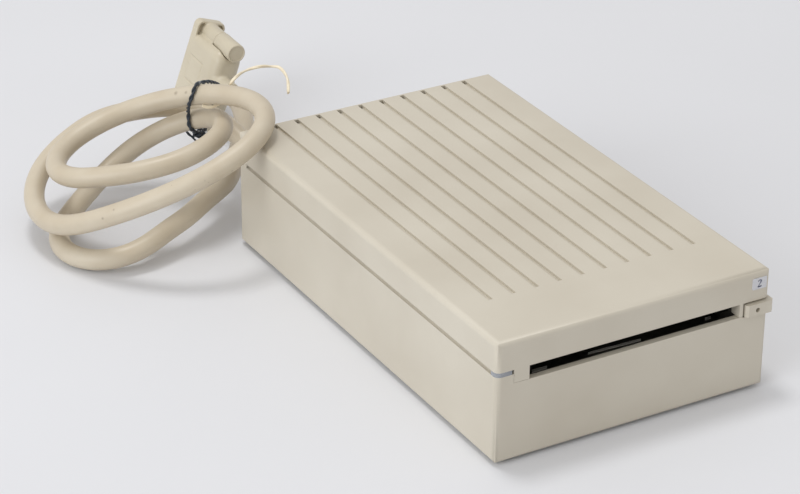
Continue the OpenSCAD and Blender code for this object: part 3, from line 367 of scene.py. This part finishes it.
black_finish = Finish("black_plastic", (24, 24, 25), (38, 38, 39), (0.4, 0.55), blotch=120,
                      grain=2600, relief=0.00002)
lamp_finish = Finish("lamp_plastic", (118, 168, 96), (140, 190, 116), (0.15, 0.25), blotch=300,
                     grain=1800, relief=0.000006, coat=0.5)
copper_finish = Finish("copper_wire", (150, 78, 38), (192, 112, 62), (0.28, 0.4), 0.9,
                       blotch=400, grain=5200, relief=0.00006, stretch=(1, 1, 9))
gold_finish = Finish("plated_pins", (196, 160, 84), (222, 188, 108), (0.18, 0.3), 1.0,
                     blotch=500, grain=3000, relief=0.000006)
# Painted highlight: near-white pads stand in for the glints of the metal inside the slot
glint_pad_finish = Finish("pad_painted_glint", (232, 226, 218), (240, 236, 228), (0.35, 0.5), 0.0, blotch=300,
                    grain=2400, relief=0.00001)
tie_finish = Finish("dark_tie", (28, 34, 42), (58, 68, 80), (0.3, 0.5), blotch=420, grain=3800,
                    relief=0.00006)
# Painted highlight: a near-white spot where the top of the tie catches the light
tie_finish.stain_and_highlight(tie_finish.near((-0.0574, 0.1416, 0.0557), (0.0010, 0.0010, 0.0016)),
                 (226, 230, 236), 0.9)
cream_finish = Finish("cream_tie", (236, 222, 194), (246, 236, 212), (0.45, 0.6), blotch=500,
                      grain=3600, relief=0.00005)


def dress(obj, finish):
    """Gives a piece its finish, also on the material slots that it came with."""
    mat = finish.mat
    if obj.data.materials:
        for i in range(len(obj.data.materials)):
            obj.data.materials[i] = mat
    else:
        obj.data.materials.append(mat)
    return obj


# Cable: the points of its route are those of the solids, in mm, and MM makes metres of them
PLUG_END = [(-19, 190, 22.7), (-19.4, 181, 22.7), (-22, 171.5, 21.3), (-27, 161.5, 19.3),
            (-34.5, 151, 17.2), (-43.5, 138.5, 15.6)]
CASE_END = [(-90, 175.5, 32), (-79, 172.5, 34.5), (-67.5, 168, 36), (-57, 163.5, 36),
            (-48, 157.5, 34), (-41.5, 149, 30), (-38, 138.5, 24.5), (-38, 134, 24),
            (-38, 125, 24)]
LOOP_MIDDLE = (-94, 126)
LOOP_DRIFT = -2
LOOP_STEPS = 8
LOOP_STEPS_DRAWN = 36
LOOP_TURNS = 2.75
LOOP_RADII = [106, 29, 22, 19, 36, 37, 27, 31, 46, 48, 16, 10, 10, 12, 37, 41, 41, 44, 66, 42,
              31, 32, 41, 54, 37]
LOOP_HEIGHTS = [9, 17, 13, 12, 5, 4, 7, 12, 32, 46, 37, 36, 34, 33, 25, 33, 45, 56, 62, 40, 25,
                13, 14, 26, 54]
CABLE_R = 4.3
BOOT = (-38, 101, 24)
TIE = [(-58.5, 141, 56), (-61, 139, 55), (-62, 139, 52.5), (-63, 140, 48.5), (-62, 143.5, 44),
       (-60.5, 146.5, 40), (-61, 145.5, 37.5), (-60.5, 145.5, 34.5), (-58, 146.5, 31.5),
       (-53.5, 150, 28), (-48.5, 155.5, 26.5), (-44, 160, 28.5), (-42, 161.5, 35),
       (-42.5, 158.5, 41), (-42.5, 153.5, 46.5), (-48, 148, 51.5), (-53, 144, 54.5)]
TIE_KNOT, TIE_STEP, TIE_PITCH, LOOSE_ENDS = 9, 0.5, 7.5, 9
SPARE = [(-59, 136, 48), (-55.5, 135, 47), (-50.5, 134.5, 48.5), (-47.5, 134, 54),
         (-48, 130.5, 58.5), (-44.5, 132, 60), (-40.5, 134.5, 60), (-36, 136, 60),
         (-31.5, 135, 60.5), (-27, 135, 59.5), (-24.5, 132.5, 59.5), (-23.5, 129.5, 58),
         (-24, 125.5, 56), (-27.5, 118.5, 54)]


def metres(points):
    return [Vector(p) * MM for p in points]


def blend(v, t):
    """Value of the cubic B-spline with the weights v at t."""
    i = min(int(t), len(v) - 4)
    u = t - i
    return ((1 - u) ** 3 * v[i] + (3 * u ** 3 - 6 * u ** 2 + 4) * v[i + 1]
            + (1 + 3 * u + 3 * u ** 2 - 3 * u ** 3) * v[i + 2] + u ** 3 * v[i + 3]) / 6


def loop_point(t):
    a = 2 * math.pi * t
    r = blend(LOOP_RADII, t * LOOP_STEPS)
    return Vector((LOOP_MIDDLE[0] + LOOP_DRIFT * t + r * math.cos(a),
                   LOOP_MIDDLE[1] - r * math.sin(a), blend(LOOP_HEIGHTS, t * LOOP_STEPS))) * MM


def cable_route():
    """Middle line of the whole cable, from the case to the plug."""
    steps = round(LOOP_TURNS * LOOP_STEPS_DRAWN)
    loops = [loop_point(LOOP_TURNS - i * LOOP_TURNS / steps) for i in range(steps + 1)]
    case_end = catmull(metres([(-38, 117, 24)] + list(reversed(CASE_END))) + loops[:1], 8)
    plug_end = catmull(loops[-1:] + metres(list(reversed(PLUG_END)) + [(-18.9, 193, 22.7)]), 8)
    line = evenly(case_end[:-1] + loops + plug_end[1:], 2.5 * MM)
    for _ in range(6):
        line = line[:3] + [line[i] * 0.5 + (line[i - 1] + line[i + 1]) * 0.25
                           for i in range(3, len(line) - 3)] + line[-3:]
    return evenly(line, 2.6 * MM)


ROUTE = cable_route()


def make_cable():
    bm = bmesh.new()
    add_tube(bm, ROUTE, CABLE_R * MM, 28)
    return dress(finish_mesh(bm, "cable", angle=60), cable_finish)


# Plug: its pieces have the plug's own place, X thickness, Y mating, Z width
PLUG = (Matrix.Translation(Vector((-17.4, 227, 22.7)) * MM)
        @ Matrix.Rotation(math.radians(-2.5), 4, "Z")
        @ Matrix.Rotation(math.radians(19.2), 4, "Y"))
HALF_T, CORE, HALF_W, HOOD_L, THUMB_AT = 6.9, 15.6, 21.6, 29, 17.2
THUMB_R, CRADLE_R, BARREL_END, THUMB_END = 4.3, 4.6, 15.7, 32
CORNER_R, END_R = 4.2, 5.5
FLANGE, FLANGE_R = (-1.6, -0.1), 2.6
POCKET_RIM, POCKET_WALL, POCKET_R = (-3.8, -1.0), 1.15, 1.6
PLATE_RIM, PLATE_WALL, PLATE_WALL_END, PLATE_R = (-0.8, 0.8), 1.3, 1.4, 1.4
COLLAR = [(4.6, -37), (5, -36.6), (5, -31), (5.4, -29.6), (6.2, -28.4), (6.2, -18)]
THREAD_R, THREAD_ROOT, THREAD_PITCH, THREAD_END = 1.5, 1.22, 0.56, 5.2


def hood_core(bm):
    """The hood's body, rounded more at the cable's end."""
    rows, steps = [], 8
    for k in range(steps + 1):
        a = math.radians(90 * k / steps)
        rows.append((-HOOD_L + END_R - END_R * math.cos(a), END_R * (1 - math.sin(a))))
    rows += [(-17, 0), (-8, 0), (-0.4, 0)]
    rings = []
    for y, inset in rows:
        outline = rounded_outline(HALF_T - inset * 0.8, CORE - inset,
                                  max(1.2, CORNER_R - inset * 0.5))
        rings.append([bm.verts.new((x * MM, y * MM, z * MM)) for x, z in outline])
    for a, b in zip(rings, rings[1:]):
        bridge(bm, a, b)
    bm.faces.new(list(reversed(rings[0])))
    bm.faces.new(rings[-1])


def add_ring(bm, y0, y1, outer, inner=None):
    """Plate between two outlines across the plug, or a rim where inner is given."""
    rings = [[bm.verts.new((x * MM, y * MM, z * MM)) for x, z in line]
             for line in ((outer, inner) if inner else (outer,)) for y in (y0, y1)]
    n = len(outer)
    for k in range(n):
        m = (k + 1) % n
        bm.faces.new((rings[0][k], rings[0][m], rings[1][m], rings[1][k]))
        if inner:
            bm.faces.new((rings[3][k], rings[3][m], rings[2][m], rings[2][k]))
            bm.faces.new((rings[0][m], rings[0][k], rings[2][k], rings[2][m]))
            bm.faces.new((rings[1][k], rings[1][m], rings[3][m], rings[3][k]))
    if not inner:
        bm.faces.new(list(reversed(rings[0])))
        bm.faces.new(rings[1])


def hood_flange(bm):
    """Flange with a rim round the pockets beside the screws, and one round the metal plate."""
    outer = rounded_outline(HALF_T, HALF_W, FLANGE_R)
    add_ring(bm, *FLANGE, outer)
    add_ring(bm, *POCKET_RIM, outer,
             rounded_outline(HALF_T - POCKET_WALL, HALF_W - POCKET_WALL, POCKET_R))
    add_ring(bm, *PLATE_RIM, outer,
             rounded_outline(HALF_T - PLATE_WALL, HALF_W - PLATE_WALL_END, PLATE_R))


def make_hood():
    """Hood as one skin with soft inner corners, then cut into its two halves."""
    bm = bmesh.new()
    hood_core(bm)
    hood_flange(bm)
    for s in (-1, 1):
        add_lathe(bm, [(0, -BARREL_END), (3.7, -BARREL_END), (4, 0.4 - BARREL_END), (4, -0.5),
                       (0, -0.5)], 32, (0, s * THUMB_AT))
    add_lathe(bm, [(0, COLLAR[0][1]), *COLLAR, (0, COLLAR[-1][1])], 40)
    bmesh.ops.recalc_face_normals(bm, faces=bm.faces)
    mesh = bpy.data.meshes.new("hood_whole")
    bm.to_mesh(mesh)
    bm.free()
    whole = link("hood_whole", mesh)
    fuse = whole.modifiers.new("fuse", "REMESH")
    fuse.mode = "VOXEL"
    fuse.voxel_size = 0.38 * MM
    soften = whole.modifiers.new("soften", "SMOOTH")
    soften.factor = 0.5
    soften.iterations = 7
    soft = bpy.data.meshes.new_from_object(
        whole.evaluated_get(bpy.context.evaluated_depsgraph_get()))
    bpy.data.objects.remove(whole)
    # the core gives way beside the heads of the thumbscrews
    for v in soft.vertices:
        x, y, z = (c / MM for c in v.co)
        if y < -BARREL_END and abs(x) < CRADLE_R and abs(z) < THUMB_AT:
            floor = THUMB_AT - math.sqrt(CRADLE_R ** 2 - x * x)
            if abs(z) > floor:
                v.co.z = math.copysign(floor, z) * MM
    halves = []
    for name, side in (("plug_cover_left", -1), ("plug_cover_right", 1)):
        half = bmesh.new()
        half.from_mesh(soft)
        cut = bmesh.ops.bisect_plane(
            half, geom=half.verts[:] + half.edges[:] + half.faces[:], plane_co=(0, 0, 0),
            plane_no=(side, 0, 0), clear_inner=True)["geom_cut"]
        bmesh.ops.holes_fill(half, edges=[e for e in cut if isinstance(e, bmesh.types.BMEdge)])
        if side < 0:
            carve_panel(half)
        obj = finish_mesh(half, name, PLUG, 50)
        halves.append(dress(obj, plug_finish))
    return halves


def carve_panel(bm):
    """Shallow line round a bare panel on the broad face."""
    low_y, high_y, half_z, line, deep = -17.6, -4.6, 5.5, 0.5, 0.3
    for v in bm.verts:
        x, y, z = (c / MM for c in v.co)
        if x > -HALF_T + 1.2 or not (low_y - 2 < y < high_y + 2 and abs(z) < half_z + 2):
            continue
        edge = max(abs(z) - half_z, abs(y - (low_y + high_y) / 2) - (high_y - low_y) / 2)
        near = max(0.0, 1 - abs(edge) / line)
        v.co.x += deep * MM * near * near * (3 - 2 * near)


def make_thumbscrew(name, side):
    """Plastic head with a dished end, on a steel shank."""
    bm = bmesh.new()
    end, r = THUMB_END, THUMB_R
    add_lathe(bm, [(0, 0.35 - end), (r - 0.95, 0.35 - end), (r - 0.7, -end), (r - 0.45, -end),
                   (r - 0.12, 0.3 - end), (r, 0.8 - end), (r - 0.1, -16.9), (r - 0.25, -16.35),
                   (r - 0.6, -16), (0, -16)], 48, (0, side * THUMB_AT))
    obj = finish_mesh(bm, name, PLUG, 30)
    dress(obj, plug_finish)
    obj.data.materials.append(steel_finish.mat)
    shank = bmesh.new()
    shank.from_mesh(obj.data)
    profile = [(0, -16.2), (THREAD_R, -16.2), (THREAD_R, 0.4)]
    y = 0.4
    while y < THREAD_END:
        profile += [(THREAD_R, y), (THREAD_R, y + 0.12), (THREAD_ROOT, y + 0.3),
                    (THREAD_ROOT, y + 0.42)]
        y += THREAD_PITCH
    profile += [(1.2, 5.6), (0.8, 6), (0, 6)]
    for face in add_lathe(shank, profile, 20, (0, side * THUMB_AT)):
        face.material_index = 1
    shank.to_mesh(obj.data)
    shank.free()
    shade(obj.data, 30)
    return obj


def make_boot():
    """Strain relief: a taper with rings at its root and a rounded end."""
    bm = bmesh.new()
    root_r, taper, length, rings, pitch, groove = 6.5, 1.6, 24, 5, 2.7, 0.7
    y = 1.6
    profile = [(0, -4.6), (8, -4.6), (8, -2.6), (6, -2.6), (6, 0.02), (root_r, 0.02), (root_r, y)]
    for _ in range(rings):
        r = root_r - taper * y / length
        profile += [(r, y), (r - groove, y + 0.35), (r - groove, y + 1.0), (r - 0.1, y + 1.35),
                    (r - 0.16, y + 2.5)]
        y += pitch
    profile += [(5.1, 22.6), (4.95, 23.5), (4.6, length), (0, length)]
    add_lathe(bm, profile, 48)
    place = Matrix.Translation(Vector(BOOT) * MM)
    return dress(finish_mesh(bm, "strain_relief", place, 35), side_finish)


# Ties
def strand(bm, line, radius, swing, pitch, phase, closed=False):
    """One wire of a twisted pair."""
    along, sides = frames(line, closed)
    far = 0.0
    points = []
    for i, p in enumerate(line):
        if i:
            far += (p - line[i - 1]).length
        a = phase + 2 * math.pi * far / pitch
        b = along[i].cross(sides[i])
        points.append(p + (sides[i] * math.cos(a) + b * math.sin(a)) * swing)
    add_tube(bm, points, radius, 8, closed)


def make_wire_tie():
    """Dark coated wire, its two strands twisted round each other, with a knot of loose ends."""
    bm = bmesh.new()
    ring = evenly(catmull(metres(TIE), 10, True), TIE_STEP * MM, True)
    turns = max(1, round(len(ring) * TIE_STEP / TIE_PITCH))
    pitch = len(ring) * TIE_STEP * MM / turns
    for phase in (0, math.pi):
        strand(bm, ring, 0.5 * MM, 0.42 * MM, pitch, phase, True)
    knot = Vector(TIE[TIE_KNOT]) * MM
    chance = random.Random(11)
    for _ in range(LOOSE_ENDS):
        a, b, c = (Vector([chance.uniform(-1, 1) for _ in range(3)]) * reach * MM
                   for reach in (2.2, 3.0, 4.2))
        start = knot + Vector((chance.uniform(-3, 2), chance.uniform(-3, 2),
                               chance.uniform(-1, 1))) * MM
        bends = [start, start + a, start + b * 0.7 + a * 0.3, start + c * 0.8]
        add_tube(bm, evenly(catmull(bends, 8), TIE_STEP * MM), 0.42 * MM, 7)
    return dress(finish_mesh(bm, "twisted_wire_tie", angle=60), tie_finish)


def make_cream_tie():
    """Pale cord of two strands, hardly twisted."""
    bm = bmesh.new()
    line = evenly(catmull(metres(SPARE), 10), TIE_STEP * MM)
    for phase in (0, math.pi):
        strand(bm, line, 0.5 * MM, 0.2 * MM, 24 * MM, phase)
    return dress(finish_mesh(bm, "cream_cord_tie", angle=60), cream_finish)


cable = make_cable()
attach(cable, "drive")
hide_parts("cable_case_end", "cable_loops", "cable_plug_end")
covers = make_hood()
for cover, node in zip(covers, ("plug_hood_left", "plug_hood_right")):
    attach(cover, "drive")
    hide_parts(node)
for name, node, side in (("plug_screw_upper", "thumbscrew_upper", 1),
                         ("plug_screw_lower", "thumbscrew_lower", -1)):
    obj = make_thumbscrew(name, side)
    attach(obj, "upper_thumbscrew" if side > 0 else "lower_thumbscrew")
    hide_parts(node)
boot = make_boot()
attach(boot, "drive")
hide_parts("cable_boot")
wire_tie = make_wire_tie()
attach(wire_tie, "drive")
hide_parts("wire_tie")
cream_tie = make_cream_tie()
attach(cream_tie, "drive")
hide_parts("spare_tie")


# Case pieces: copies of the solids whose outer edges are softened
def soft_copy(node, name, choose, width):
    """Copy of a CAD node with the chosen sharp edges rounded, width in mm."""
    bm = bmesh.new()
    bm.from_mesh(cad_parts[node].data)
    bmesh.ops.remove_doubles(bm, verts=bm.verts, dist=2e-6)
    bmesh.ops.dissolve_limit(bm, angle_limit=math.radians(0.6), verts=bm.verts, edges=bm.edges)
    edges = [e for e in bm.edges
             if len(e.link_faces) == 2 and e.calc_face_angle(0) > math.radians(35) and choose(e)]
    bmesh.ops.bevel(bm, geom=edges, offset=width * MM, segments=3, profile=0.5,
                    affect="EDGES", clamp_overlap=True)
    obj = finish_mesh(bm, name, angle=30)
    flat = obj.modifiers.new("flat_normals", "WEIGHTED_NORMAL")
    flat.keep_sharp = True
    return obj


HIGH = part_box("bottom_case")[1]
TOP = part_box("top_cover")[1].z


def outside(edge):
    """Edge on the case's outer faces."""
    def on(v):
        return (abs(abs(v.x) - HIGH.x) < 2e-5 or abs(abs(v.y) - HIGH.y) < 2e-5
                or abs(v.z - TOP) < 2e-5)
    a, b = (v.co for v in edge.verts)
    return on(a) and on(b) and (a - b).length > 0.4 * MM


cover = soft_copy("top_cover", "roof_shell", outside, 0.28)
dress(cover, case_finish)
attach(cover, "drive")
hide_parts("top_cover")
base = soft_copy("bottom_case", "floor_shell", outside, 0.28)
dress(base, side_finish)
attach(base, "drive")
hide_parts("bottom_case")
button = soft_copy("eject_button", "eject_key", lambda e: True, 0.3)
dress(button, button_finish)
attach(button, "button")
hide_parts("eject_button")


# Pads on the frame's floor behind the slot, for the metal seen there; their near-white colour is
# a painted glint
PADS = {
    "slot_pad_left": [(-35.9, -87.1), (-29.5, -87.2), (-28.4, -85.5), (-34.8, -85.3)],
    "slot_pad_middle": [(-10.6, -85.8), (12.4, -86.7), (13.2, -85.5), (-9.8, -84.6)],
    "slot_pad_right": [(42.6, -85.2), (45.3, -85.3), (46.1, -84.1), (43.5, -83.9)],
}
FLOOR_Z = 26.0
PAD_H = 0.35


def make_pad(name, corners):
    """Low pad with sloping sides on the frame's floor, its corners given in mm."""
    bm = bmesh.new()
    middle = sum((Vector((x, y, 0)) for x, y in corners), Vector()) / len(corners)
    rows = []
    for up, share in ((-0.1, 1.0), (PAD_H * 0.6, 1.0), (PAD_H, 0.88)):
        rows.append([bm.verts.new((middle + (Vector((x, y, 0)) - middle) * share
                                   + Vector((0, 0, FLOOR_Z + up))) * MM) for x, y in corners])
    for a, b in zip(rows, rows[1:]):
        bridge(bm, a, b)
    bm.faces.new(rows[-1])
    bm.faces.new(list(reversed(rows[0])))
    obj = finish_mesh(bm, name, angle=30)
    dress(obj, glint_pad_finish)
    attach(obj, "drive")


for pad, corners in PADS.items():
    make_pad(pad, corners)


# Number on the label: a plain 2, drawn as a stroke of changing width
def make_number():
    stroke = [(-0.42, 0.50, 0.10), (-0.36, 0.74, 0.16), (-0.16, 0.93, 0.13), (0.10, 0.95, 0.15),
              (0.34, 0.80, 0.22), (0.38, 0.55, 0.24), (0.26, 0.25, 0.20), (0.02, -0.12, 0.15),
              (-0.22, -0.45, 0.12), (-0.45, -0.78, 0.10), (-0.50, -0.88, 0.18),
              (-0.20, -0.88, 0.24), (0.15, -0.88, 0.24), (0.42, -0.84, 0.20), (0.55, -0.62, 0.08)]
    low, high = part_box("number_label")
    middle = (low + high) / 2
    line = catmull([Vector((x, 0, z)) for x, z, _ in stroke], 5)
    widths = catmull([Vector((w, 0, 0)) for _, _, w in stroke], 5)
    size, weight, finest = 1.5, 1.8, 0.13
    bm = bmesh.new()
    rows = []
    for i, p in enumerate(line):
        a, b = line[max(i - 1, 0)], line[min(i + 1, len(line) - 1)]
        t = (b - a).normalized()
        n = Vector((-t.z, 0, t.x)) * (max(widths[i].x * weight, finest) / 2)
        rows.append([Vector((middle.x + q.x * size * MM, low.y - 0.015 * MM,
                             middle.z + q.z * size * MM)) for q in (p + n, p - n)])
    made = [[bm.verts.new(v) for v in r] for r in rows]
    for a, b in zip(made, made[1:]):
        bm.faces.new((a[0], a[1], b[1], b[0]))
    obj = finish_mesh(bm, "label_number", angle=60)
    thick = obj.modifiers.new("ink", "SOLIDIFY")
    thick.thickness = 0.02 * MM
    return dress(obj, print_finish)


number = make_number()
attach(number, "drive")

# Finishes of the CAD nodes that stay
FINISHES = {
    "light_window": window_finish, "number_label": label_finish, "rubber_feet": rubber_finish,
    "case_screws": steel_finish, "mount_screws": steel_finish, "shield_screws": steel_finish,
    "button_spring": steel_finish, "switch_board": board_finish, "led_board": board_finish,
    "logic_board": board_finish, "motor_board": board_finish, "eject_switch": black_finish,
    "led_lamp": lamp_finish, "drive_frame": alloy_finish, "top_shield": sheet_finish,
    # The disk cage's steel is painted near black as shade inside the slot
    "disk_cage": steel_painted_shade, "slide_plate": sheet_finish, "shutter_arm": sheet_finish,
    "stator_coils": copper_finish, "spindle_bearing": steel_finish,
    "spindle_rotor": sheet_finish, "spindle_hub": alloy_finish, "stepper_motor": sheet_finish,
    "lead_screw": steel_finish, "guide_rods": steel_finish, "head_carriage": black_finish,
    "lower_head": alloy_finish, "upper_arm": black_finish, "upper_head": alloy_finish,
    "track_sensor": black_finish, "eject_motor": sheet_finish, "motor_pinion": gold_finish,
    "cam_gear": black_finish, "board_chips": black_finish, "board_connector": black_finish,
    "rear_socket_shell": sheet_finish, "rear_socket_insert": black_finish,
    "plug_shell": sheet_finish, "plug_insert": black_finish, "plug_pins": gold_finish,
}
for node, finish in FINISHES.items():
    dress(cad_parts[node], finish)


# Table and light
def make_stage():
    bm = bmesh.new()
    bmesh.ops.create_grid(bm, x_segments=2, y_segments=2, size=6)
    floor = finish_mesh(bm, "table")
    table = Finish("table_top", (222, 223, 227), (226, 227, 231), (0.5, 0.6), blotch=3,
                   grain=900, relief=0.00001)
    dress(floor, table)
    world = bpy.data.worlds.new("studio")
    scene.world = world
    world.use_nodes = True
    sky = world.node_tree.nodes["Background"]
    sky.inputs["Color"].default_value = (1.0, 0.985, 0.968, 1)
    sky.inputs["Strength"].default_value = 0.625


def area_light(name, where, target, size, power, colour=(1, 1, 1)):
    data = bpy.data.lights.new(name, "AREA")
    data.shape = "DISK"
    data.size = size
    data.energy = power
    data.color = colour
    obj = bpy.data.objects.new(name, data)
    scene.collection.objects.link(obj)
    obj.location = where
    obj.rotation_euler = (Vector(target) - Vector(where)).to_track_quat("-Z", "Y").to_euler()


make_stage()
area_light("overhead", (-0.15, 0.42, 1.9), (0, 0, 0), 0.5, 10.6)
area_light("left_box", (-2.15, -0.5, 0.95), (0, 0, 0.03), 1.8, 24.3, (0.94, 0.968, 0.995))
